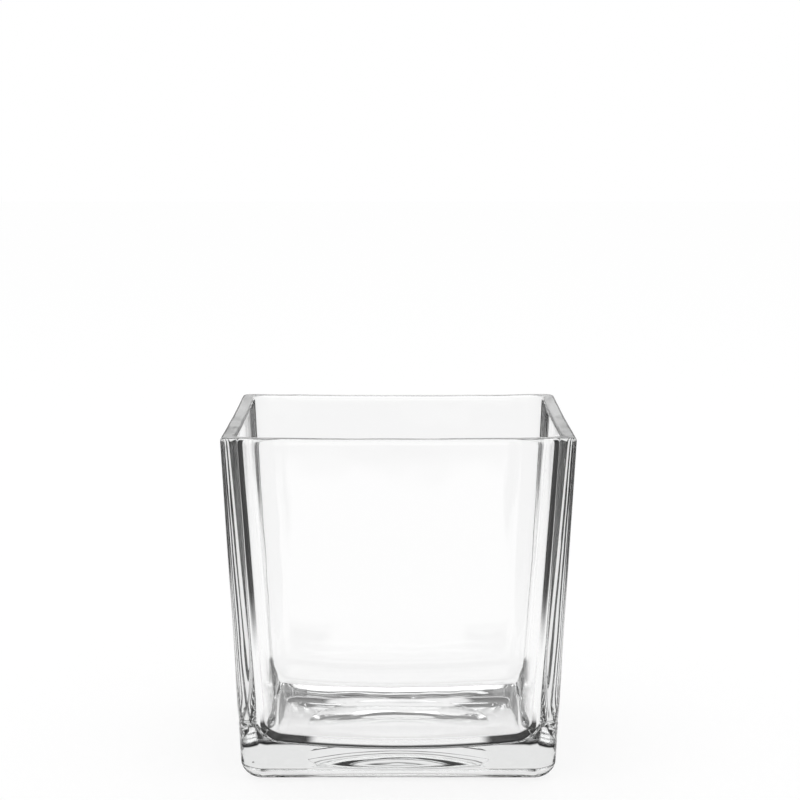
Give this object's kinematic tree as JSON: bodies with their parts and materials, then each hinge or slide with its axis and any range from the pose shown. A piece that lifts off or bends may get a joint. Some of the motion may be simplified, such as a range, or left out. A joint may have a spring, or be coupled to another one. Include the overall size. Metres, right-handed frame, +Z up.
{
  "type": "square glass display jar",
  "caption": "Open-topped square jar of clear pressed glass with tapered walls, a thick base, a round heel, a bowled floor and a shallow dish underneath.",
  "frame": {"origin": "centre of the underside, on the surface that the jar stands on", "axes": "+Z up along the jar's axis, X and Y square to its flat walls"},
  "size_m": [0.0998, 0.0998, 0.1],
  "materials": {
    "clear_glass": "gloss"
  },
  "bodies": {
    "root": {"jar_body": "clear_glass"}
  },
  "joints": []
}
